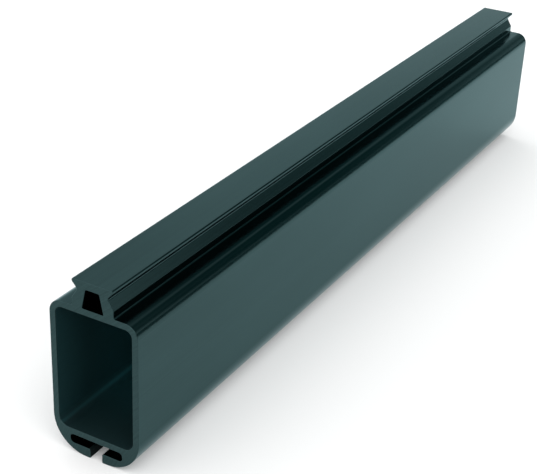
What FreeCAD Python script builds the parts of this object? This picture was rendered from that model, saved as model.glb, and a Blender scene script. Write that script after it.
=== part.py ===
import FreeCAD, Part
import math
import os
import Sketcher

# Sail track of the tall beam kind: one aluminium extrusion, sawn square at both ends.
# A hollow box beam stands on a bolt slot and carries a hollow neck with the track head,
# whose two V grooves are the ball races of a traveller car.
# Millimetres. X is the width, Y the length, Z up. The origin is the middle of the base.

NODE = "beam_track"
FULL_TURN = 2 * math.pi
EDGE_TOLERANCE = 0.001

SIZES = {
    "stock_length": 600.0,
    # box beam
    "beam_width": 59.2,
    "beam_height": 98.6,
    "wall": 4.0,
    "crown_radius": 8.5,
    "base_radius": 22.5,
    "cavity_foot_radius": 6.0,
    # bolt slot in the base, for bolt heads or strap nuts with an 8 mm shank
    "slot_width": 36.0,
    "slot_height": 5.8,
    "slot_end_radius": 2.2,
    "slot_lip": 6.2,
    "slot_web": 4.0,
    "mouth_width": 8.2,
    "mouth_nose_radius": 1.2,
    "mouth_foot_radius": 0.5,
    # neck and track head, measured down from the head's flat top
    "head_width": 27.0,
    "head_rise": 17.0,
    "head_edge": 1.7,
    "head_edge_radius": 0.9,
    "head_foot_radius": 0.35,
    "race_root_width": 19.8,
    "race_root_drop": 5.8,
    "race_root_radius": 1.8,
    "shoulder_width": 27.8,
    "shoulder_drop": 12.1,
    "shoulder_radius": 0.6,
    "neck_foot_radius": 0.9,
    # hollow inside the neck
    "hollow_floor_width": 14.4,
    "hollow_floor_radius": 0.5,
    "hollow_roof_width": 9.0,
    "hollow_roof_radius": 1.0,
    "head_plate": 4.7,
    # how far the tool for the slot's mouth reaches below the base
    "mouth_overrun": 2.0,
}


class Length:
    """A length as a spreadsheet expression together with its present value."""

    def __init__(self, text, value):
        self.text = text
        self.value = value

    def joined(self, other, sign, value):
        text = other.text if isinstance(other, Length) else str(other)
        return Length(f"({self.text} {sign} {text})", value)

    def __add__(self, other):
        return self.joined(other, "+", self.value + other.value)

    def __sub__(self, other):
        return self.joined(other, "-", self.value - other.value)

    def __truediv__(self, number):
        return self.joined(number, "/", self.value / number)

    def __neg__(self):
        return Length(f"(-{self.text})", -self.value)


FLOOR = Length("0 mm", 0.0)


def make_sheet(doc):
    """The spreadsheet that holds every driving dimension, one row each."""
    sheet = doc.addObject("Spreadsheet::Sheet", "sizes")
    for row, (alias, number) in enumerate(SIZES.items(), start=1):
        sheet.set(f"A{row}", alias)
        sheet.set(f"B{row}", str(number))
        sheet.setAlias(f"B{row}", alias)
    doc.recompute()
    return {alias: Length(f"sizes.{alias}", number) for alias, number in SIZES.items()}


def origin_plane(body, role):
    """One of the body's own origin planes."""
    return next(item for item in body.Origin.OriginFeatures if item.Role == role)


def corner_arc(corner, before, after, radius):
    """The arc that rounds a corner, and whether it runs with the outline."""
    to_before = (before - corner).normalize()
    to_after = (after - corner).normalize()
    half_angle = to_before.getAngle(to_after) / 2
    centre = corner + (to_before + to_after).normalize() * (radius / math.sin(half_angle))
    reach = radius / math.tan(half_angle)
    spokes = [corner + to_before * reach - centre, corner + to_after * reach - centre]
    with_outline = to_before.cross(to_after).z < 0
    if not with_outline:
        spokes.reverse()
    start, end = [math.atan2(spoke.y, spoke.x) for spoke in spokes]
    if end < start:
        end += FULL_TURN
    circle = Part.Circle(centre, FreeCAD.Vector(0, 0, 1), radius)
    return Part.ArcOfCircle(circle, start, end), with_outline, reach


def symmetric_sketch(body, name, right_side):
    """A closed outline that is the same left and right of the middle.

    right_side lists its corners on the right from the lowest up, each as the distance
    from the middle, the height and the corner's radius, which is None where it is sharp.
    """
    sketch = body.newObject("Sketcher::SketchObject", name)
    sketch.AttachmentSupport = (origin_plane(body, "XZ_Plane"), [""])
    sketch.MapMode = "FlatFace"
    half = len(right_side)
    corners = list(right_side) + list(reversed(right_side))
    count = len(corners)
    spots = []
    for index, (reach, height, _radius) in enumerate(corners):
        side = 1 if index < half else -1
        spots.append(FreeCAD.Vector(side * reach.value, height.value, 0))

    # arcs first, so that each side's line can be trimmed to them
    arcs = []
    for index, (_reach, _height, radius) in enumerate(corners):
        before = spots[index - 1]
        after = spots[(index + 1) % count]
        arcs.append(corner_arc(spots[index], before, after, radius.value) if radius else None)

    lines = []
    for index in range(count):
        start = spots[index]
        end = spots[(index + 1) % count]
        along = (end - start).normalize()
        next_arc = arcs[(index + 1) % count]
        if arcs[index]:
            start = start + along * arcs[index][2]
        if next_arc:
            end = end - along * next_arc[2]
        lines.append(sketch.addGeometry(Part.LineSegment(start, end)))

    handles = []
    for index in range(count):
        line_in = lines[index - 1]
        line_out = lines[index]
        if arcs[index] is None:
            sketch.addConstraint(Sketcher.Constraint("Coincident", line_in, 2, line_out, 1))
            handles.append(line_out)
            continue
        curve, with_outline, _reach = arcs[index]
        arc = sketch.addGeometry(curve)
        first, last = (1, 2) if with_outline else (2, 1)
        sketch.addConstraint(Sketcher.Constraint("Tangent", line_in, 2, arc, first))
        sketch.addConstraint(Sketcher.Constraint("Tangent", arc, last, line_out, 1))
        point = sketch.addGeometry(Part.Point(spots[index]), True)
        sketch.addConstraint(Sketcher.Constraint("PointOnObject", point, 1, line_in))
        sketch.addConstraint(Sketcher.Constraint("PointOnObject", point, 1, line_out))
        size_it(sketch, "Radius", [arc], corners[index][2], f"radius_{index}")
        handles.append(point)

    for index, (reach, height, _radius) in enumerate(right_side):
        size_it(sketch, "DistanceX", [-1, 1, handles[index], 1], reach, f"reach_{index}")
        size_it(sketch, "DistanceY", [-1, 1, handles[index], 1], height, f"height_{index}")
        mirrored = handles[count - 1 - index]
        pair = [handles[index], 1, mirrored, 1]
        sketch.addConstraint(Sketcher.Constraint("Symmetric", *pair, -2))
    return sketch


def size_it(sketch, kind, places, length, name):
    """A driving dimension of a sketch, bound to the spreadsheet."""
    number = sketch.addConstraint(Sketcher.Constraint(kind, *places, length.value))
    sketch.renameConstraint(number, name)
    sketch.setExpression(f"Constraints.{name}", length.text)


def extrude(body, name, sketch, length):
    """Material along the whole stock, half of it on each side of the middle."""
    pad = body.newObject("PartDesign::Pad", name)
    pad.Profile = sketch
    pad.SideType = "Symmetric"
    pad.setExpression("Length", length.text)
    return pad


def cut_through(body, name, sketch):
    """A channel along the whole stock. It must take material away."""
    body.Document.recompute()
    before = body.Shape.Volume
    pocket = body.newObject("PartDesign::Pocket", name)
    pocket.Profile = sketch
    pocket.SideType = "Symmetric"
    pocket.Type = "ThroughAll"
    body.Document.recompute()
    if body.Shape.Volume >= before:
        raise ValueError(f"{name} removes nothing")
    return pocket


def round_long_edges(body, name, reach, height, radius):
    """Round the pair of edges that run along the stock at this reach and height."""
    body.Document.recompute()
    base = body.Tip
    corner = FreeCAD.Vector(reach.value, 0, height.value)
    picked = []
    for index, edge in enumerate(body.Shape.Edges, start=1):
        spots = [FreeCAD.Vector(abs(end.X), 0, end.Z) for end in edge.Vertexes]
        if all(spot.isEqual(corner, EDGE_TOLERANCE) for spot in spots):
            picked.append(f"Edge{index}")
    fillet = body.newObject("PartDesign::Fillet", name)
    fillet.Base = (base, picked)
    fillet.setExpression("Radius", radius.text)
    return fillet


def beam_outline(size):
    """Box beam: rounded top corners, and a base whose sides curve in to a flat land."""
    half_width = size["beam_width"] / 2
    return [
        (half_width, FLOOR, size["base_radius"]),
        (half_width, size["beam_height"], size["crown_radius"]),
    ]


def cavity_outline(size):
    """Hollow of the beam, one wall inside its sides and top and one web above the slot."""
    half_width = size["beam_width"] / 2 - size["wall"]
    floor = size["slot_lip"] + size["slot_height"] + size["slot_web"]
    return [
        (half_width, floor, size["cavity_foot_radius"]),
        (half_width, size["beam_height"] - size["wall"], size["crown_radius"] - size["wall"]),
    ]


def slot_outline(size):
    """Bolt slot and the mouth that opens it through the base."""
    roof = size["slot_lip"] + size["slot_height"]
    return [
        (size["mouth_width"] / 2, -size["mouth_overrun"], None),
        (size["mouth_width"] / 2, size["slot_lip"], size["mouth_nose_radius"]),
        (size["slot_width"] / 2, size["slot_lip"], size["slot_end_radius"]),
        (size["slot_width"] / 2, roof, size["slot_end_radius"]),
    ]


def head_outline(size):
    """Neck and head: shoulder, round-rooted V race and lip on each side, flat on top."""
    top = size["beam_height"] + size["head_rise"]
    return [
        (size["shoulder_width"] / 2, size["beam_height"], None),
        (size["shoulder_width"] / 2, top - size["shoulder_drop"], size["shoulder_radius"]),
        (size["race_root_width"] / 2, top - size["race_root_drop"], size["race_root_radius"]),
        (size["head_width"] / 2, top - size["head_edge"], size["head_foot_radius"]),
        (size["head_width"] / 2, top, size["head_edge_radius"]),
    ]


def hollow_outline(size):
    """Hollow of the neck, a trapezoid that leaves the head plate above it."""
    top = size["beam_height"] + size["head_rise"]
    return [
        (size["hollow_floor_width"] / 2, size["beam_height"], size["hollow_floor_radius"]),
        (size["hollow_roof_width"] / 2, top - size["head_plate"], size["hollow_roof_radius"]),
    ]


def make_beam_track(doc, size):
    """The whole extrusion."""
    body = doc.addObject("PartDesign::Body", NODE)
    body.Label = NODE
    length = size["stock_length"]
    extrude(body, "beam", symmetric_sketch(body, "beam_section", beam_outline(size)), length)
    extrude(body, "head", symmetric_sketch(body, "head_section", head_outline(size)), length)
    neck_side = size["shoulder_width"] / 2
    round_long_edges(body, "neck_feet", neck_side, size["beam_height"], size["neck_foot_radius"])
    cut_through(body, "cavity", symmetric_sketch(body, "cavity_section", cavity_outline(size)))
    cut_through(body, "slot", symmetric_sketch(body, "slot_section", slot_outline(size)))
    mouth_side = size["mouth_width"] / 2
    round_long_edges(body, "mouth_feet", mouth_side, FLOOR, size["mouth_foot_radius"])
    cut_through(body, "hollow", symmetric_sketch(body, "hollow_section", hollow_outline(size)))
    body.Placement = FreeCAD.Placement()
    return body


def check_document(doc, bodies):
    """Stop before anything is written if a feature failed or a shape is unsound."""
    for item in doc.Objects:
        if "Invalid" in item.State or "Error" in item.State:
            raise ValueError(f"{item.Label} failed: {item.State}")
    for body in bodies:
        if body.Shape.isNull() or not body.Shape.isValid():
            raise ValueError(f"{body.Label} has no sound shape")
        if len(body.Shape.Solids) != 1:
            raise ValueError(f"{body.Label} isn't one solid")


def main():
    doc = FreeCAD.newDocument("sail_track")
    size = make_sheet(doc)
    bodies = [make_beam_track(doc, size)]
    doc.recompute()
    check_document(doc, bodies)
    os.makedirs("parts", exist_ok=True)
    for body in bodies:
        body.Shape.exportStep(f"parts/{body.Label}.step")
        box = body.Shape.BoundBox
        print(body.Label, f"{box.XLength:.2f} x {box.YLength:.2f} x {box.ZLength:.2f} mm")
        print("section area", f"{body.Shape.Volume / box.YLength:.1f} mm2")


main()
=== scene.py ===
import math
from collections import namedtuple
from functools import partial

import bpy
from mathutils import Euler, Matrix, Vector


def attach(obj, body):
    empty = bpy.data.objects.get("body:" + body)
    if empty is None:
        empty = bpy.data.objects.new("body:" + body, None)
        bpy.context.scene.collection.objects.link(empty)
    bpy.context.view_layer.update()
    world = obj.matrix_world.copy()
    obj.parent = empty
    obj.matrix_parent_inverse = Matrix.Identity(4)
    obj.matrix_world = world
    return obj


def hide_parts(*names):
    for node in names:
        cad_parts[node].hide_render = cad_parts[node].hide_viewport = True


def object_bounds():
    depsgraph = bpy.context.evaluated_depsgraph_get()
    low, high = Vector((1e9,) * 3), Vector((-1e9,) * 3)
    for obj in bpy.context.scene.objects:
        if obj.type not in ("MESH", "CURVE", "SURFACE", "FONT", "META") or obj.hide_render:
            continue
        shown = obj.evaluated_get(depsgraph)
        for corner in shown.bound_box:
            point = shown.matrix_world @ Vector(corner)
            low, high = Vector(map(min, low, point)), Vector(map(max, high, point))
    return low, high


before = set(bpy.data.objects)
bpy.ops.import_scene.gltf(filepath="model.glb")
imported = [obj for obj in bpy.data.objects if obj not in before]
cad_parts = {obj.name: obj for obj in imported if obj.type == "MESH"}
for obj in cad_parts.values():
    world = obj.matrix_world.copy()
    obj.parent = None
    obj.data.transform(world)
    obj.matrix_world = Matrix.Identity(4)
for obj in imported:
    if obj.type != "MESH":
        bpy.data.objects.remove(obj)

# Sail track of the tall beam kind, cut from one aluminium extrusion and anodised dark.
# Metres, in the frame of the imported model: X is the width, Y the length, Z up, and the
# origin is the middle of the base. The near end is at -Y.

bl_info = {
    "name": "Sail Track Section",
    "version": (1, 0, 0),
    "blender": (4, 5, 0),
    "location": "3D View > Sidebar > Sail Track",
    "description": "Extrudes and finishes a tall beam sail track, and sets up its studio",
    "category": "Object",
}

CAD_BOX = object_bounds()
CAD_NODE = "beam_track"
BODY = "root"
PIECE = "extruded_track"
MILLIMETRE = 0.001
MICROMETRE = 0.001 * MILLIMETRE
LOWEST, HIGHEST = CAD_BOX
WHITE = (1.0, 1.0, 1.0, 1.0)

# The extrusion. FACETS_PER_ROOT times the root of an arc's radius over its tolerance gives the
# facets of a quarter turn. A face is marked where all its corners are, and an end is a face
# that looks along the stock.
FACETS_PER_ROOT = math.pi / 4 / math.sqrt(2)
CAVITY_OUTLINE = 1
MARK_MARGIN = 0.01 * MILLIMETRE
MERGE_DISTANCE = 0.001 * MILLIMETRE
MARKED = 0.9
SAWN_FACING = 0.2
END_FACING = 0.999
RIM_SHARE = 0.25
MARKS = ("home", "outward", "cavity", "mouth", "inset", "along")

# The finishes. A noise lies between the limits but for rare peaks. A gain pair is the darkest
# and the lightest that a noise makes the dye. The saw's hub is given across and up from the
# middle of the base, in radii of the blade.
NOISE_LIMITS = (0.3, 0.7)
SOFT_OCTAVES = 2.0
LINE_OCTAVES = 3.0
LINE_HARSHNESS = 0.6
DRAWN_GAIN = (0.82, 1.18)
CAVITY_GAIN = (0.88, 1.08)
MOUTH_GAIN = (0.8, 1.2)
SAWN_GAIN = (0.72, 1.06)
LINE_SHARE = 0.6
GRAIN_SHARE = 0.3
ROUGHNESS_SWING = 0.03
LINE_RELIEF = 1.5 * MICROMETRE
SAW_RELIEF = 20 * MICROMETRE
SAW_HUB = (0.9, -0.35)

# The camera's sensor, in millimetres.
SENSOR_WIDTH = 36.0


def size(label, millimetres, description):
    """A length that the user can change, given here in millimetres."""
    return bpy.props.FloatProperty(
        name=label,
        description=description,
        default=millimetres * MILLIMETRE,
        min=0.0,
        precision=4,
        unit="LENGTH",
    )


def extent(label, axis, description):
    """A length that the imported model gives: its extent along one axis."""
    return size(label, (HIGHEST[axis] - LOWEST[axis]) / MILLIMETRE, description)


def linear(hex_colour):
    """An sRGB hex colour as linear red, green, blue and full alpha."""
    channels = [int(hex_colour[place:place + 2], 16) / 255 for place in (1, 3, 5)]
    curve = [c / 12.92 if c <= 0.04045 else ((c + 0.055) / 1.055) ** 2.4 for c in channels]
    return (*curve, 1.0)


def colour(label, hex_colour, description):
    """A colour that the user can change, given here as sRGB hex."""
    return bpy.props.FloatVectorProperty(
        name=label,
        description=description,
        default=linear(hex_colour),
        size=4,
        min=0.0,
        max=1.0,
        subtype="COLOR",
    )


def share(label, value, description):
    """A number from 0 to 1 that the user can change."""
    return bpy.props.FloatProperty(
        name=label,
        description=description,
        default=value,
        min=0.0,
        max=1.0,
        subtype="FACTOR",
    )


def amount(label, value, description):
    """A number from 0 up that the user can change."""
    return bpy.props.FloatProperty(name=label, description=description, default=value, min=0.0)


class TrackSection(bpy.types.PropertyGroup):
    """Sizes of the extrusion's section and of the stock."""

    length: extent("Length", 1, "Length of the stock")
    beam_width: extent("Beam width", 0, "Outer width of the box beam")
    overall_height: extent("Overall height", 2, "Height from the base to the head's top")
    head_rise: size("Head rise", 17.0, "Height of the neck and head above the box beam")
    wall: size("Wall", 4.0, "Thickness of the box beam's sides and top")
    crown_radius: size("Crown radius", 8.5, "Outer radius of the beam's top corners")
    base_radius: size("Base radius", 22.5, "Outer radius of the beam's bottom corners")
    cavity_foot_radius: size("Cavity foot radius", 6.0, "Radius of the cavity's lower corners")
    slot_width: size("Slot width", 36.0, "Width of the bolt slot inside the base")
    slot_height: size("Slot height", 5.8, "Height of the bolt slot")
    slot_end_radius: size("Slot end radius", 2.2, "Radius of the bolt slot's corners")
    slot_lip: size("Slot lip", 6.2, "Thickness of the lips under the bolt slot")
    slot_web: size("Slot web", 4.0, "Thickness between the bolt slot and the cavity")
    mouth_width: size("Mouth width", 8.2, "Width of the slot's mouth in the base")
    mouth_nose_radius: size("Mouth nose radius", 1.2, "Radius of the lips' inner noses")
    mouth_foot_radius: size("Mouth foot radius", 0.5, "Radius of the mouth's edges in the base")
    head_width: size("Head width", 27.0, "Width of the track head")
    head_edge: size("Head edge", 1.7, "Height of the head's upright edges")
    head_edge_radius: size("Head edge radius", 0.9, "Radius on the head's top edges")
    head_foot_radius: size("Head foot radius", 0.35, "Radius under the head's upright edges")
    race_root_width: size("Race root width", 19.8, "Width between the roots of the races")
    race_root_drop: size("Race root drop", 5.8, "Depth of the race roots below the head's top")
    race_root_radius: size("Race root radius", 1.8, "Radius in the root of each race")
    shoulder_width: size("Shoulder width", 27.8, "Width of the neck")
    shoulder_drop: size("Shoulder drop", 12.1, "Depth of the shoulders below the head's top")
    shoulder_radius: size("Shoulder radius", 0.6, "Radius on the shoulders")
    neck_foot_radius: size("Neck foot radius", 0.9, "Radius where the neck meets the beam")
    hollow_floor_width: size("Hollow floor width", 14.4, "Width of the neck's hollow at its floor")
    hollow_floor_radius: size("Hollow floor radius", 0.5, "Radius of the hollow's lower corners")
    hollow_roof_width: size("Hollow roof width", 9.0, "Width of the neck's hollow at its roof")
    hollow_roof_radius: size("Hollow roof radius", 1.0, "Radius of the hollow's upper corners")
    head_plate: size("Head plate", 4.7, "Thickness of the head above the neck's hollow")
    edge_break: size("Edge break", 0.35, "Rounding that deburring leaves on the sawn edges")
    arc_tolerance: size("Arc tolerance", 0.004, "How far a facet may stray from a true arc")
    break_steps: bpy.props.IntProperty(
        name="Break steps",
        description="Facets across the rounding of a sawn edge",
        default=3,
        min=1,
    )
    stock_steps: bpy.props.IntProperty(
        name="Stock steps",
        description="Facets along the length of the stock",
        default=24,
        min=1,
    )


class TrackFinish(bpy.types.PropertyGroup):
    """Colour and surface of the anodised aluminium."""

    dye: colour("Dye", "#324647", "Colour of the dyed oxide over the metal")
    edge_tint: colour("Edge tint", "#DAEBED", "Colour that the metal takes at a grazing angle")
    roughness: share("Roughness", 0.18, "Roughness of the satin that the die and the etch leave")
    sawn_roughness: share("Sawn roughness", 0.30, "Roughness of the sawn ends")
    cavity_dye: colour("Cavity dye", "#123538", "Colour of the dyed oxide inside the cavity's ends")
    # Painted light: the deep colour and its reach make the cavity's walls lighter with depth, for the
    # light that bounces deep into it.
    deep_painted_light: colour("Deep painted light", "#255E64", "Colour of the thinner oxide deep in the cavity")
    painted_light_reach: size("Painted light reach", 75.0, "Depth at which the cavity's oxide has become thin")
    # Painted shade: this gain darkens the cavity's floor at its ends, and it fades out deeper in.
    painted_floor_shade_gain: share("Painted floor shade gain", 0.57, "Brightness left to the cavity's floor at its ends")
    # Painted highlight: the corner gain and its reach make a pale line along the cavity's lower
    # corners.
    corner_highlight_gain: amount("Corner highlight gain", 1.9, "Lightening along the cavity's lower corners")
    corner_highlight_reach: size("Corner highlight reach", 1.9, "Reach of the lighter line along those corners")
    cavity_roughness: share("Cavity roughness", 0.55, "Roughness of the cavity's walls")
    cavity_metallic: share("Cavity metallic", 0.4, "Share of the cavity's walls that shines as metal")
    # Painted shade: the mouth's near black colour, high roughness and low gloss stand for the shade
    # in its narrow gap.
    mouth_painted_shade: colour("Mouth painted shade", "#071212", "Colour of the thick dyed oxide in the slot's mouth")
    mouth_roughness: share("Mouth roughness", 0.8, "Roughness of the walls of the slot's mouth")
    mouth_gloss: share("Mouth gloss", 0.1, "Specular level of the walls of the slot's mouth")
    die_line_spacing: size("Die line spacing", 0.6, "Width of the widest lines that the die draws")
    die_line_length: size("Die line length", 900.0, "Length of the die's lines on the outside")
    inner_line_length: size("Inner line length", 1000.0, "Length of the die's lines on the inside")
    drift_width: size("Drift width", 45.0, "Width of the patches over which the dye drifts")
    drift_length: size("Drift length", 160.0, "Length of the patches over which the dye drifts")
    saw_radius: size("Saw radius", 150.0, "Radius of the saw blade that cut the ends")
    saw_mark_spacing: size("Saw mark spacing", 1.1, "Distance between the saw's marks")
    saw_grain: size("Saw grain", 1.2, "Size of the blotches that the etch leaves on the sawn ends")


class TrackStudio(bpy.types.PropertyGroup):
    """Floor, light and camera."""

    floor_colour: colour("Floor", "#E8E8E8", "Colour of the pale floor")
    floor_reach: bpy.props.FloatProperty(
        name="Floor reach",
        description="Distance from the middle of the floor to its sides",
        default=12.0,
        min=1.0,
        unit="LENGTH",
    )
    flag_colour: colour("Flags", "#004848", "Colour of the dark flags behind the stock")
    dome_strength: amount("Dome strength", 1.4, "Brightness of the white surroundings")
    card_colour: colour("Card", "#4E6C6C", "Colour of the graded card beside the stock")
    card_side: size("Card side", 500.0, "Distance of the card from the stock's middle")
    card_height: size("Card height", 230.0, "Height of the card")
    card_reach: size("Card reach", 2000.0, "Distance from the middle of the card to its ends")
    card_fade: size("Card fade", 80.0, "Height over which the card's foot fades into the floor")
    floor_glow: amount("Floor glow", 0.12, "Light that the translucent floor gives from below")
    sun_strength: amount("Sun strength", 0.5, "Strength of the soft overhead light")
    sun_width: bpy.props.FloatProperty(
        name="Sun width",
        description="Angle that the soft overhead light fills",
        default=math.radians(40),
        min=0.0,
        unit="ROTATION",
    )
    sun_side: bpy.props.FloatVectorProperty(
        name="Sun side",
        description="Direction in which the soft overhead light hangs",
        default=(0.45, -0.35, 0.82),
        size=3,
        subtype="DIRECTION",
    )
    camera_place: bpy.props.FloatVectorProperty(
        name="Camera place",
        description="Where the camera stands",
        default=(0.3613, -0.7663, 0.4517),
        size=3,
        subtype="TRANSLATION",
        unit="LENGTH",
    )
    camera_turn: bpy.props.FloatVectorProperty(
        name="Camera turn",
        description="How the camera is turned",
        default=[math.radians(angle) for angle in (62.518, -2.372, 29.996)],
        size=3,
        subtype="EULER",
        unit="ROTATION",
    )
    camera_lens: bpy.props.FloatProperty(
        name="Camera lens",
        description="Focal length in millimetres on a sensor 36 mm wide",
        default=85.117,
        min=1.0,
    )


def add_node(tree, kind, settings=None, inputs=None):
    """A node with its settings made and each input given a value or a link."""
    node = tree.nodes.new(kind)
    for name, value in (settings or {}).items():
        setattr(node, name, value)
    feed(tree, node, inputs or {})
    return node


def feed(tree, node, inputs):
    """Give each named or numbered input of a node its value, or the link that it names."""
    for name, value in inputs.items():
        if isinstance(value, bpy.types.NodeSocket):
            tree.links.new(value, node.inputs[name])
        else:
            node.inputs[name].default_value = value


def calculated(tree, operation, *values):
    """The result of a sum on numbers, each given as a value or a link."""
    inputs = dict(enumerate(values))
    return add_node(tree, "ShaderNodeMath", {"operation": operation}, inputs).outputs[0]


def vector_sum(tree, operation, *values, output="Vector", **named):
    """The result of a sum on vectors, each given as a value or a link."""
    inputs = {**dict(enumerate(values)), **named}
    return add_node(tree, "ShaderNodeVectorMath", {"operation": operation}, inputs).outputs[output]


def parted(tree, vector):
    """The X, Y and Z of a vector."""
    return add_node(tree, "ShaderNodeSeparateXYZ", {}, {"Vector": vector}).outputs


def graded(tree, value, limits, results=(0.0, 1.0), curve="LINEAR"):
    """A value taken from one range to another, and held at the range's ends."""
    return add_node(tree, "ShaderNodeMapRange", {"interpolation_type": curve}, {
        "Value": value,
        "From Min": limits[0],
        "From Max": limits[1],
        "To Min": results[0],
        "To Max": results[1],
    }).outputs["Result"]


def mixed(tree, kind, part, first, second):
    """Two numbers or two colours mixed, where the part is the second one's."""
    low, high, result = {"FLOAT": (2, 3, 0), "RGBA": (6, 7, 2)}[kind]
    return add_node(tree, "ShaderNodeMix", {"data_type": kind}, {
        0: part, low: first, high: second,
    }).outputs[result]


def mirrored(right_side):
    """A closed outline from its right side, listed from the bottom up: counter-clockwise."""
    return right_side + [(-x, z, radius) for x, z, radius in reversed(right_side)]


def section_outlines(section):
    """The section's outlines as corners (across, up, radius), each with the metal on its left."""
    beam_height = section.overall_height - section.head_rise
    top = section.overall_height
    slot_roof = section.slot_lip + section.slot_height
    half_beam = section.beam_width / 2
    half_mouth = section.mouth_width / 2
    half_slot = section.slot_width / 2
    half_head = section.head_width / 2
    outside = mirrored([
        (half_slot, slot_roof, section.slot_end_radius),
        (half_slot, section.slot_lip, section.slot_end_radius),
        (half_mouth, section.slot_lip, section.mouth_nose_radius),
        (half_mouth, 0.0, section.mouth_foot_radius),
        (half_beam, 0.0, section.base_radius),
        (half_beam, beam_height, section.crown_radius),
        (section.shoulder_width / 2, beam_height, section.neck_foot_radius),
        (section.shoulder_width / 2, top - section.shoulder_drop, section.shoulder_radius),
        (section.race_root_width / 2, top - section.race_root_drop, section.race_root_radius),
        (half_head, top - section.head_edge, section.head_foot_radius),
        (half_head, top, section.head_edge_radius),
    ])
    half_cavity = half_beam - section.wall
    cavity = mirrored([
        (half_cavity, slot_roof + section.slot_web, section.cavity_foot_radius),
        (half_cavity, beam_height - section.wall, section.crown_radius - section.wall),
    ])
    hollow = mirrored([
        (section.hollow_floor_width / 2, beam_height, section.hollow_floor_radius),
        (section.hollow_roof_width / 2, top - section.head_plate, section.hollow_roof_radius),
    ])
    return [outside, cavity[::-1], hollow[::-1]]


def section_curve(section):
    """The outlines as one curve object, whose point radii are the corners' radii."""
    curve = bpy.data.curves.new("track_section", "CURVE")
    curve.dimensions = "3D"
    for outline in section_outlines(section):
        spline = curve.splines.new("POLY")
        spline.points.add(len(outline) - 1)
        spline.use_cyclic_u = True
        for point, (across, up, radius) in zip(spline.points, outline):
            point.co = (across, up, 0.0, 1.0)
            point.radius = radius
    drawing = bpy.data.objects.new("track_section", curve)
    bpy.context.scene.collection.objects.link(drawing)
    return drawing


def stored(tree, geometry, name, kind, value, domain="POINT"):
    """The geometry with a value kept on it under a name."""
    settings = {"data_type": kind, "domain": domain}
    inputs = {"Geometry": geometry, "Name": name, "Value": value}
    return add_node(tree, "GeometryNodeStoreNamedAttribute", settings, inputs).outputs[0]


def recalled(tree, name, kind="FLOAT"):
    """The value that a geometry keeps under a name."""
    settings = {"data_type": kind}
    return add_node(tree, "GeometryNodeInputNamedAttribute", settings, {"Name": name}).outputs[0]


def moved(tree, geometry, position):
    """The geometry with its points put at a position."""
    inputs = {"Geometry": geometry, "Position": position}
    return add_node(tree, "GeometryNodeSetPosition", {}, inputs).outputs["Geometry"]


def rounded_outline(tree, given):
    """The outlines with facets round their corners. Each point keeps its home, its outward
    direction, and whether it is the cavity's or the mouth's."""
    calculate = partial(calculated, tree)
    radius = recalled(tree, "radius")
    root = calculate("SQRT", calculate("DIVIDE", radius, given["Arc Tolerance"]))
    outline = add_node(tree, "GeometryNodeFilletCurve", {"mode": "POLY"}, {
        "Curve": given["Section"],
        "Count": calculate("CEIL", calculate("MULTIPLY", root, FACETS_PER_ROOT)),
        "Radius": radius,
        "Limit Radius": True,
    }).outputs["Curve"]
    tangent = add_node(tree, "GeometryNodeInputTangent").outputs["Tangent"]
    place = add_node(tree, "GeometryNodeInputPosition").outputs["Position"]
    sideways = vector_sum(tree, "CROSS_PRODUCT", tangent, (0, 0, 1))
    number = add_node(tree, "GeometryNodeCurveOfPoint").outputs["Curve Index"]
    axes = parted(tree, place)
    beside = calculate("LESS_THAN", calculate("ABSOLUTE", axes["X"]), given["Mouth Reach"])
    above = calculate("GREATER_THAN", axes["Y"], given["Mouth Foot"])
    below = calculate("LESS_THAN", axes["Y"], given["Mouth Rise"])
    in_mouth = calculate("MULTIPLY", calculate("MULTIPLY", beside, above), below)
    for name, kind, value in (
        ("home", "FLOAT_VECTOR", place),
        ("outward", "FLOAT_VECTOR", vector_sum(tree, "NORMALIZE", sideways)),
        ("cavity", "FLOAT", calculate("COMPARE", number, CAVITY_OUTLINE, 0.5)),
        ("mouth", "FLOAT", in_mouth),
    ):
        outline = stored(tree, outline, name, kind, value)
    return outline


def stations(tree, given):
    """A line with a point for each station: a quarter turn of rounding at each end, and even
    steps between them. Each point keeps its inset and its place along the stock."""
    calculate = partial(calculated, tree)
    steps, edge_break = given["Break Steps"], given["Edge Break"]
    last = calculate("ADD", calculate("MULTIPLY", steps, 2.0), given["Stock Steps"])
    line = add_node(tree, "GeometryNodeCurvePrimitiveLine").outputs["Curve"]
    path = add_node(tree, "GeometryNodeResampleCurve", {"mode": "COUNT"}, {
        "Curve": line,
        "Count": calculate("ADD", last, 1.0),
    }).outputs["Curve"]
    index = add_node(tree, "GeometryNodeInputIndex").outputs["Index"]
    insets, rises = [], []
    for from_end in (index, calculate("SUBTRACT", last, index)):
        part = calculate("MINIMUM", calculate("DIVIDE", from_end, steps), 1.0)
        angle = calculate("MULTIPLY", part, math.pi / 2)
        insets.append(calculate("SUBTRACT", 1.0, calculate("SINE", angle)))
        rises.append(calculate("COSINE", angle))
    inset = calculate("MULTIPLY", calculate("ADD", *insets), edge_break)
    straight = calculate("SUBTRACT", given["Length"], calculate("MULTIPLY", edge_break, 2.0))
    steady = (steps, calculate("SUBTRACT", last, steps))
    reach = (calculate("MULTIPLY", straight, -0.5), calculate("MULTIPLY", straight, 0.5))
    rise = calculate("MULTIPLY", calculate("SUBTRACT", rises[1], rises[0]), edge_break)
    along = calculate("ADD", graded(tree, index, steady, reach), rise)
    path = stored(tree, path, "inset", "FLOAT", inset)
    return stored(tree, path, "along", "FLOAT", along)


def shrunk(tree, inset):
    """The home of each point, moved into the metal by an inset."""
    inward = calculated(tree, "MULTIPLY", inset, -1.0)
    shift = vector_sum(tree, "SCALE", recalled(tree, "outward", "FLOAT_VECTOR"), Scale=inward)
    return vector_sum(tree, "ADD", recalled(tree, "home", "FLOAT_VECTOR"), shift)


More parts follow.
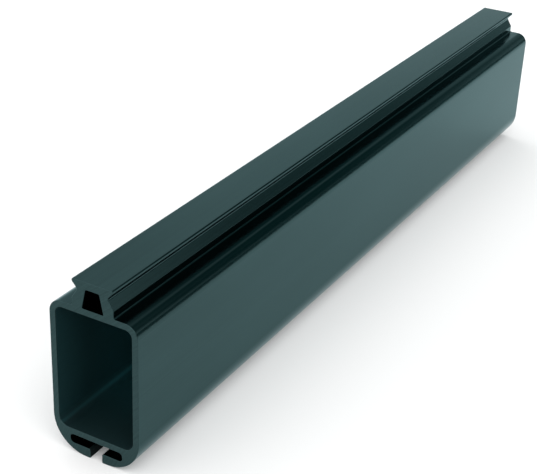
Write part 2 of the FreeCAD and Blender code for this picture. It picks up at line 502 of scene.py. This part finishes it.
def raised_walls(tree, outline, path):
    """The walls: the outline at each station, shrunk by the station's inset."""
    walls = add_node(tree, "GeometryNodeCurveToMesh", {}, {
        "Curve": path,
        "Profile Curve": outline,
    }).outputs["Mesh"]
    rise = add_node(tree, "ShaderNodeCombineXYZ", {}, {"Z": recalled(tree, "along")}).outputs[0]
    return moved(tree, walls, vector_sum(tree, "ADD", shrunk(tree, recalled(tree, "inset")), rise))


def sawn_ends(tree, given, outline):
    """The two sawn faces, filled inside the shrunk outline."""
    edge = moved(tree, outline, shrunk(tree, given["Edge Break"]))
    fill = add_node(tree, "GeometryNodeFillCurve", {"mode": "TRIANGLES"}, {"Curve": edge})
    face = fill.outputs["Mesh"]
    turned = add_node(tree, "GeometryNodeFlipFaces", {}, {"Mesh": face}).outputs["Mesh"]
    ends = []
    for side, mesh in ((0.5, face), (-0.5, turned)):
        reach = calculated(tree, "MULTIPLY", given["Length"], side)
        offset = add_node(tree, "ShaderNodeCombineXYZ", {}, {"Z": reach}).outputs[0]
        ends.append(add_node(tree, "GeometryNodeTransform", {}, {
            "Geometry": mesh,
            "Translation": offset,
        }).outputs["Geometry"])
    return ends


def laid_down(tree, parts):
    """The parts as one mesh, laid so that the section's up is Z and the stock runs along Y."""
    joined = add_node(tree, "GeometryNodeJoinGeometry")
    for part in parts:
        tree.links.new(part, joined.inputs["Geometry"])
    merged = add_node(tree, "GeometryNodeMergeByDistance", {"mode": "ALL"}, {
        "Geometry": joined.outputs["Geometry"],
        "Distance": MERGE_DISTANCE,
    }).outputs["Geometry"]
    return add_node(tree, "GeometryNodeTransform", {}, {
        "Geometry": merged,
        "Rotation": Euler((math.pi / 2, 0.0, 0.0)),
    }).outputs["Geometry"]


def finished_stock(tree, given, laid):
    """The stock with sharp edges between the sawn faces and their rounding, and its finishes."""
    normal = add_node(tree, "GeometryNodeInputNormal").outputs["Normal"]
    facing = calculated(tree, "ABSOLUTE", parted(tree, normal)["Y"])
    flat = add_node(tree, "GeometryNodeFieldOnDomain", {"domain": "FACE", "data_type": "FLOAT"}, {
        "Value": calculated(tree, "GREATER_THAN", facing, END_FACING),
    }).outputs["Value"]
    rim = calculated(tree, "GREATER_THAN", flat, RIM_SHARE)
    shaded = stored(tree, laid, "sharp_edge", "BOOLEAN", rim, domain="EDGE")
    stock = add_node(tree, "GeometryNodeRealizeInstances", {}, {"Geometry": shaded}).outputs[0]
    for finish, selection in (
        ("Drawn Finish", True),
        # The cavity's finish carries painted light and painted shade.
        ("Cavity Dye And Painted Light", calculated(tree, "GREATER_THAN", recalled(tree, "cavity"), MARKED)),
        # The mouth's finish is painted shade.
        ("Mouth Painted Shade", calculated(tree, "GREATER_THAN", recalled(tree, "mouth"), MARKED)),
        ("Sawn Finish", calculated(tree, "GREATER_THAN", facing, SAWN_FACING)),
    ):
        stock = add_node(tree, "GeometryNodeSetMaterial", {}, {
            "Geometry": stock,
            "Selection": selection,
            "Material": given[finish],
        }).outputs["Geometry"]
    return stock


def extrusion_tree():
    """Geometry Nodes that round a section's corners, extrude it and close its sawn ends.

    The section lies in the XY plane. Each point of its rounded outline keeps its home and
    its outward direction, each station along the stock its inset and its place, and the
    wall's points are then put where the two say, so the stations make the edges' rounding.
    """
    tree = bpy.data.node_groups.new("extruded_stock", "GeometryNodeTree")
    sockets = {
        "Geometry": ("Section",),
        "Float": ("Length", "Edge Break", "Arc Tolerance", "Mouth Reach", "Mouth Foot", "Mouth Rise"),
        "Int": ("Break Steps", "Stock Steps"),
        "Material": ("Drawn Finish", "Cavity Dye And Painted Light", "Mouth Painted Shade", "Sawn Finish"),
    }
    for kind, names in sockets.items():
        for name in names:
            tree.interface.new_socket(name, in_out="INPUT", socket_type="NodeSocket" + kind)
    tree.interface.new_socket("Stock", in_out="OUTPUT", socket_type="NodeSocketGeometry")
    given = add_node(tree, "NodeGroupInput").outputs
    outline = rounded_outline(tree, given)
    walls = raised_walls(tree, outline, stations(tree, given))
    laid = laid_down(tree, (walls, *sawn_ends(tree, given, outline)))
    add_node(tree, "NodeGroupOutput", {}, {"Stock": finished_stock(tree, given, laid)})
    return tree


def plain_mesh(drawing, name, clear):
    """The evaluated object as a new plain object, without the old one and the named attributes."""
    depsgraph = bpy.context.evaluated_depsgraph_get()
    mesh = bpy.data.meshes.new_from_object(drawing.evaluated_get(depsgraph), depsgraph=depsgraph)
    mesh.name = name
    for attribute in clear:
        if attribute in mesh.attributes:
            mesh.attributes.remove(mesh.attributes[attribute])
    bpy.data.objects.remove(drawing)
    piece = bpy.data.objects.new(name, mesh)
    bpy.context.scene.collection.objects.link(piece)
    return piece


def new_material(name):
    """An empty material with its tree, its shader and the surface's object coordinates."""
    material = bpy.data.materials.new(name)
    material.use_nodes = True
    tree = material.node_tree
    tree.nodes.clear()
    shader = add_node(tree, "ShaderNodeBsdfPrincipled")
    add_node(tree, "ShaderNodeOutputMaterial", {}, {"Surface": shader.outputs["BSDF"]})
    place = add_node(tree, "ShaderNodeTexCoord").outputs["Object"]
    return material, tree, shader, place


def noise(tree, vector, octaves, harshness=0.5, scale=1.0):
    """Noise from 0 to 1 at a place."""
    return add_node(tree, "ShaderNodeTexNoise", {}, {
        "Vector": vector,
        "Scale": scale,
        "Detail": octaves,
        "Roughness": harshness,
    }).outputs["Fac"]


def drawn_out(tree, place, width, length):
    """The place scaled so that a noise gets this width across the stock and length along it."""
    scale = (1 / width, 1 / length, 1 / width)
    mapping = add_node(tree, "ShaderNodeMapping", {}, {"Vector": place, "Scale": scale})
    return mapping.outputs["Vector"]


def die_lines(tree, place, finish, length):
    """The faint lines that the die draws along the stock."""
    line_place = drawn_out(tree, place, finish.die_line_spacing, length)
    return noise(tree, line_place, LINE_OCTAVES, LINE_HARSHNESS)


def tinted(tree, dye, gain):
    """A dye made darker or lighter by a gain."""
    return vector_sum(tree, "SCALE", dye, Scale=gain)


def relief(tree, height, distance):
    """The normal of a surface with this relief."""
    inputs = {"Strength": 1.0, "Distance": distance, "Height": height}
    return add_node(tree, "ShaderNodeBump", {}, inputs).outputs["Normal"]


def drawn_anodised_aluminium(finish):
    """Extruded aluminium, etched satin and dyed dark in its oxide: a tinted metal mirror,
    blurred, with faint lines along the stock from the die and a slow drift in the dye."""
    material, tree, shader, place = new_material("drawn_anodised_aluminium")
    lines = die_lines(tree, place, finish, finish.die_line_length)
    patches = drawn_out(tree, place, finish.drift_width, finish.drift_length)
    drift = noise(tree, patches, SOFT_OCTAVES)
    shade = mixed(tree, "FLOAT", LINE_SHARE, drift, lines)
    swing = (finish.roughness - ROUGHNESS_SWING, finish.roughness + ROUGHNESS_SWING)
    feed(tree, shader, {
        "Base Color": tinted(tree, finish.dye[:3], graded(tree, shade, NOISE_LIMITS, DRAWN_GAIN)),
        "Roughness": graded(tree, lines, NOISE_LIMITS, swing),
        "Normal": relief(tree, lines, LINE_RELIEF),
        "Metallic": 1.0,
        "Specular Tint": finish.edge_tint,
    })
    return material


def cavity_dye_and_painted_light(finish, section):
    """Walls of the cavity, drawn over the die's mandrel: a dull surface that scatters the
    light of the open end. The colour grows lighter with depth, which is painted light for
    the light that bounces deep in, and lighter in a pale line along the lower corners,
    which is a painted highlight. The floor is darker at its ends, which is painted shade."""
    material, tree, shader, place = new_material("cavity_dye_and_painted_light")
    calculate = partial(calculated, tree)
    lines = die_lines(tree, place, finish, finish.inner_line_length)
    gain = graded(tree, lines, NOISE_LIMITS, CAVITY_GAIN)
    axes = parted(tree, place)
    depth = calculate("SUBTRACT", section.length / 2, calculate("ABSOLUTE", axes["Y"]))
    # Painted light: the colour turns from the colour at the ends to the lighter deep colour with
    # depth, for the light that bounces deep into the cavity.
    painted_light_depths = (finish.painted_light_reach / 3, finish.painted_light_reach)
    painted_light_share = graded(tree, depth, painted_light_depths, curve="SMOOTHSTEP")
    dye = mixed(tree, "RGBA", painted_light_share, finish.cavity_dye, finish.deep_painted_light)

    # Painted highlight: the colour is lighter, up to the corner gain, along the cavity's lower
    # corners, and it fades out within a short reach of them.
    half_cavity = section.beam_width / 2 - section.wall
    floor = section.slot_lip + section.slot_height + section.slot_web
    bend = section.cavity_foot_radius * (1 - math.sqrt(0.5))
    beside = calculate("SUBTRACT", half_cavity - bend, calculate("ABSOLUTE", axes["X"]))
    above = calculate("SUBTRACT", axes["Z"], floor + bend)
    squares = [calculate("POWER", length, 2.0) for length in (beside, above)]
    away = calculate("SQRT", calculate("ADD", *squares))
    line = (0.0, finish.corner_highlight_reach)
    corner = graded(tree, away, line, (finish.corner_highlight_gain, 1.0), curve="SMOOTHSTEP")

    # Painted shade: the floor, up to the corners' bend, is darker at the ends of the cavity and
    # reaches full brightness deeper in.
    floor_shade_depths = (finish.painted_light_reach / 8, finish.painted_light_reach / 2)
    painted_floor_shade = graded(tree, depth, floor_shade_depths, (finish.painted_floor_shade_gain, 1.0), curve="SMOOTHSTEP")
    foot = (floor + bend / 2, floor + section.cavity_foot_radius)
    laid = graded(tree, axes["Z"], foot, (painted_floor_shade, 1.0))
    gain = calculate("MULTIPLY", calculate("MULTIPLY", gain, corner), laid)
    feed(tree, shader, {
        "Base Color": tinted(tree, dye, gain),
        "Metallic": finish.cavity_metallic,
        "Roughness": finish.cavity_roughness,
    })
    return material


def mouth_aluminium_painted_shade(finish):
    """Walls of the slot's mouth. They face each other over a narrow gap whose shade is painted
    in: near black and dull, with the die's lines just showing."""
    material, tree, shader, place = new_material("mouth_aluminium_painted_shade")
    lines = die_lines(tree, place, finish, finish.inner_line_length)
    gain = graded(tree, lines, NOISE_LIMITS, MOUTH_GAIN)
    feed(tree, shader, {
        # Painted shade: a near black, dull colour for the shade between the mouth's walls.
        "Base Color": tinted(tree, finish.mouth_painted_shade[:3], gain),
        "Metallic": 0.0,
        "Roughness": finish.mouth_roughness,
        "Specular IOR Level": finish.mouth_gloss,
    })
    return material


def sawn_anodised_aluminium(finish):
    """The same metal where the saw cut it before the bath: the same dye, a rougher
    surface and shallow arcs across the end as wide apart as the blade's teeth bit."""
    material, tree, shader, place = new_material("sawn_anodised_aluminium")
    hub = (finish.saw_radius * SAW_HUB[0], 0.0, finish.saw_radius * SAW_HUB[1])
    from_hub = vector_sum(tree, "SUBTRACT", place, hub)
    in_plane = vector_sum(tree, "MULTIPLY", from_hub, (1.0, 0.0, 1.0))
    reach = vector_sum(tree, "LENGTH", in_plane, output="Value")
    marks = add_node(tree, "ShaderNodeTexNoise", {"noise_dimensions": "1D"}, {
        "W": calculated(tree, "DIVIDE", reach, finish.saw_mark_spacing),
        "Scale": 1.0,
        "Detail": LINE_OCTAVES,
        "Roughness": LINE_HARSHNESS,
    }).outputs["Fac"]
    grain = noise(tree, place, SOFT_OCTAVES, scale=1 / finish.saw_grain)
    shade = mixed(tree, "FLOAT", GRAIN_SHARE, marks, grain)
    feed(tree, shader, {
        "Base Color": tinted(tree, finish.dye[:3], graded(tree, shade, NOISE_LIMITS, SAWN_GAIN)),
        "Normal": relief(tree, shade, SAW_RELIEF),
        "Metallic": 1.0,
        "Roughness": finish.sawn_roughness,
        "Specular Tint": finish.edge_tint,
    })
    return material


class SAIL_TRACK_OT_extrude(bpy.types.Operator):
    """Extrude the section to its length, saw its ends and anodise it"""

    bl_idname = "sail_track.extrude"
    bl_label = "Extrude Beam Track"
    bl_options = {"REGISTER", "UNDO"}

    def execute(self, context):
        section = context.scene.track_section
        finish = context.scene.track_finish
        drawing = section_curve(section)
        tree = extrusion_tree()
        given = {
            "Length": section.length,
            "Edge Break": section.edge_break,
            "Arc Tolerance": section.arc_tolerance,
            "Break Steps": section.break_steps,
            "Stock Steps": section.stock_steps,
            "Drawn Finish": drawn_anodised_aluminium(finish),
            # The cavity's finish carries painted light and painted shade.
            "Cavity Dye And Painted Light": cavity_dye_and_painted_light(finish, section),
            "Mouth Reach": section.mouth_width / 2 + section.mouth_nose_radius + MARK_MARGIN,
            "Mouth Foot": section.mouth_foot_radius - MARK_MARGIN,
            "Mouth Rise": section.slot_lip + MARK_MARGIN,
            # The mouth's finish is painted shade.
            "Mouth Painted Shade": mouth_aluminium_painted_shade(finish),
            "Sawn Finish": sawn_anodised_aluminium(finish),
        }
        modifier = drawing.modifiers.new("extrusion", "NODES")
        modifier.node_group = tree
        for item in tree.interface.items_tree:
            if item.in_out == "INPUT" and item.name in given:
                modifier[item.identifier] = given[item.name]
        piece = plain_mesh(drawing, PIECE, MARKS)
        weighted = piece.modifiers.new("flats_stay_flat", "WEIGHTED_NORMAL")
        weighted.keep_sharp = True
        piece = plain_mesh(piece, PIECE, ())
        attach(piece, BODY)
        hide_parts(CAD_NODE)
        return {"FINISHED"}


def studio_board(name, material_name, corners):
    """A flat matt board of the studio: its object, its material's tree and its shader."""
    mesh = bpy.data.meshes.new(name)
    mesh.from_pydata(corners, [], [(0, 1, 2, 3)])
    material = bpy.data.materials.new(material_name)
    material.use_nodes = True
    tree = material.node_tree
    shader = tree.nodes["Principled BSDF"]
    feed(tree, shader, {"Roughness": 1.0, "Specular IOR Level": 0.0})
    mesh.materials.append(material)
    board = bpy.data.objects.new(name, mesh)
    bpy.context.scene.collection.objects.link(board)
    return board, tree, shader


def lay_floor(studio):
    """The pale floor that the stock lies on, with a little light from below."""
    reach = studio.floor_reach
    corners = [(-reach, -reach, 0.0), (reach, -reach, 0.0), (reach, reach, 0.0), (-reach, reach, 0.0)]
    floor, tree, shader = studio_board("studio_floor", "pale_matt_board", corners)
    feed(tree, shader, {
        "Base Color": studio.floor_colour,
        "Emission Color": WHITE,
        "Emission Strength": studio.floor_glow,
    })


def stand_card(studio):
    """A dark card on the floor along the stock's right side, whose foot fades into the
    floor. Only the metal sees it: the crown of the beam mirrors it as a soft dark edge."""
    side, top, reach = studio.card_side, studio.card_height, studio.card_reach
    corners = [(side, reach, 0.0), (side, -reach, 0.0), (side, -reach, top), (side, reach, top)]
    card, tree, shader = studio_board("studio_card", "graded_card", corners)
    place = add_node(tree, "ShaderNodeTexCoord").outputs["Object"]
    rise = graded(tree, parted(tree, place)["Z"], (0.0, studio.card_fade))
    feed(tree, shader, {
        "Base Color": mixed(tree, "RGBA", rise, studio.floor_colour, studio.card_colour),
    })
    card.visible_camera = False
    card.visible_diffuse = False
    card.visible_shadow = False


# A dark flag far behind the stock: the azimuth and elevation of its middle, how far out it is
# dark, how far out it is gone, and the light that it lets through. All but the last in degrees,
# the azimuth from +Y towards +X.
Flag = namedtuple("Flag", "azimuth elevation dark clear light")
FLAGS = (
    Flag(3, 37, 14, 46, 0.22),      # the head's top, and the dark of every upper edge
    Flag(15, 35, 5, 12, 0.08),      # the crown under its light line
    Flag(30, 33, 17, 23, 0.30),     # the crown's slope
    Flag(35, 6, 4, 26, 0.13),       # the races' flanks and the crown's side
    Flag(-48, 20, 12.5, 16, 0.60),  # the left crown
    Flag(-18, 36, 6, 12, 0.04),     # the crown's inner edge and the head's right edge
    Flag(32, 24, 7, 12, 0.1),       # the neck's foot
)


def flag_shade(tree, direction, flag):
    """The share of the light that one flag lets through in each direction."""
    middle = Vector((0.0, 1.0, 0.0))
    middle.rotate(Euler((math.radians(flag.elevation), 0.0, math.radians(-flag.azimuth))))
    nearness = vector_sum(tree, "DOT_PRODUCT", direction, middle, output="Value")
    angle = calculated(tree, "ARCCOSINE", nearness)
    edge = (math.radians(flag.dark), math.radians(flag.clear))
    return graded(tree, angle, edge, (flag.light, 1.0), curve="SMOOTHSTEP")


def light_surroundings(studio):
    """Surroundings that the camera sees white and the metal mirrors as a white dome with
    dark flags in it, which give the head's top its tone and the rounded edges dark lines."""
    world = bpy.data.worlds.new("studio_surroundings")
    world.use_nodes = True
    tree = world.node_tree
    tree.nodes.clear()
    direction = add_node(tree, "ShaderNodeTexCoord").outputs["Generated"]
    whiteness = 1.0
    for flag in FLAGS:
        whiteness = calculated(tree, "MULTIPLY", whiteness, flag_shade(tree, direction, flag))
    seen = add_node(tree, "ShaderNodeBackground", {}, {"Color": WHITE})
    dome = add_node(tree, "ShaderNodeBackground", {}, {
        "Color": mixed(tree, "RGBA", whiteness, studio.flag_colour, WHITE),
        "Strength": studio.dome_strength,
    })
    surface = add_node(tree, "ShaderNodeMixShader", {}, {
        0: add_node(tree, "ShaderNodeLightPath").outputs["Is Camera Ray"],
        1: dome.outputs["Background"],
        2: seen.outputs["Background"],
    })
    add_node(tree, "ShaderNodeOutputWorld", {}, {"Surface": surface.outputs["Shader"]})
    bpy.context.scene.world = world


def hang_sun(studio):
    """A wide soft light from the camera's right, whose shadow falls behind the stock."""
    lamp = bpy.data.lights.new("soft_key", "SUN")
    lamp.energy = studio.sun_strength
    lamp.angle = studio.sun_width
    sun = bpy.data.objects.new("soft_key", lamp)
    sun.rotation_euler = Vector(studio.sun_side).to_track_quat("Z", "Y").to_euler()
    bpy.context.scene.collection.objects.link(sun)


def stand_camera(studio):
    """The camera where the photograph was taken from."""
    lens = bpy.data.cameras.new("camera")
    lens.sensor_width = SENSOR_WIDTH
    lens.lens = studio.camera_lens
    camera = bpy.data.objects.new("camera", lens)
    camera.location = studio.camera_place
    camera.rotation_euler = studio.camera_turn
    bpy.context.scene.collection.objects.link(camera)
    bpy.context.scene.camera = camera


class SAIL_TRACK_OT_set_studio(bpy.types.Operator):
    """Lay the pale floor, set the soft light and stand the camera"""

    bl_idname = "sail_track.set_studio"
    bl_label = "Set Up Studio"
    bl_options = {"REGISTER", "UNDO"}

    def execute(self, context):
        studio = context.scene.track_studio
        lay_floor(studio)
        light_surroundings(studio)
        stand_card(studio)
        hang_sun(studio)
        stand_camera(studio)
        context.scene.view_settings.view_transform = "Standard"
        return {"FINISHED"}


class SAIL_TRACK_PT_maker(bpy.types.Panel):
    """Sizes, finish and studio of the sail track"""

    bl_idname = "SAIL_TRACK_PT_maker"
    bl_label = "Sail Track"
    bl_space_type = "VIEW_3D"
    bl_region_type = "UI"
    bl_category = "Sail Track"

    def draw(self, context):
        layout = self.layout
        for group in (context.scene.track_section, context.scene.track_finish,
                      context.scene.track_studio):
            box = layout.box()
            for name in group.__annotations__:
                box.prop(group, name)
        layout.operator(SAIL_TRACK_OT_extrude.bl_idname)
        layout.operator(SAIL_TRACK_OT_set_studio.bl_idname)


GROUPS = {
    "track_section": TrackSection,
    "track_finish": TrackFinish,
    "track_studio": TrackStudio,
}
CLASSES = (*GROUPS.values(), SAIL_TRACK_OT_extrude, SAIL_TRACK_OT_set_studio, SAIL_TRACK_PT_maker)


def register():
    for item in CLASSES:
        bpy.utils.register_class(item)
    for name, group in GROUPS.items():
        setattr(bpy.types.Scene, name, bpy.props.PointerProperty(type=group))


def unregister():
    for name in GROUPS:
        delattr(bpy.types.Scene, name)
    for item in reversed(CLASSES):
        bpy.utils.unregister_class(item)


def main():
    register()
    bpy.ops.sail_track.extrude()
    bpy.ops.sail_track.set_studio()


if __name__ == "__main__":
    main()
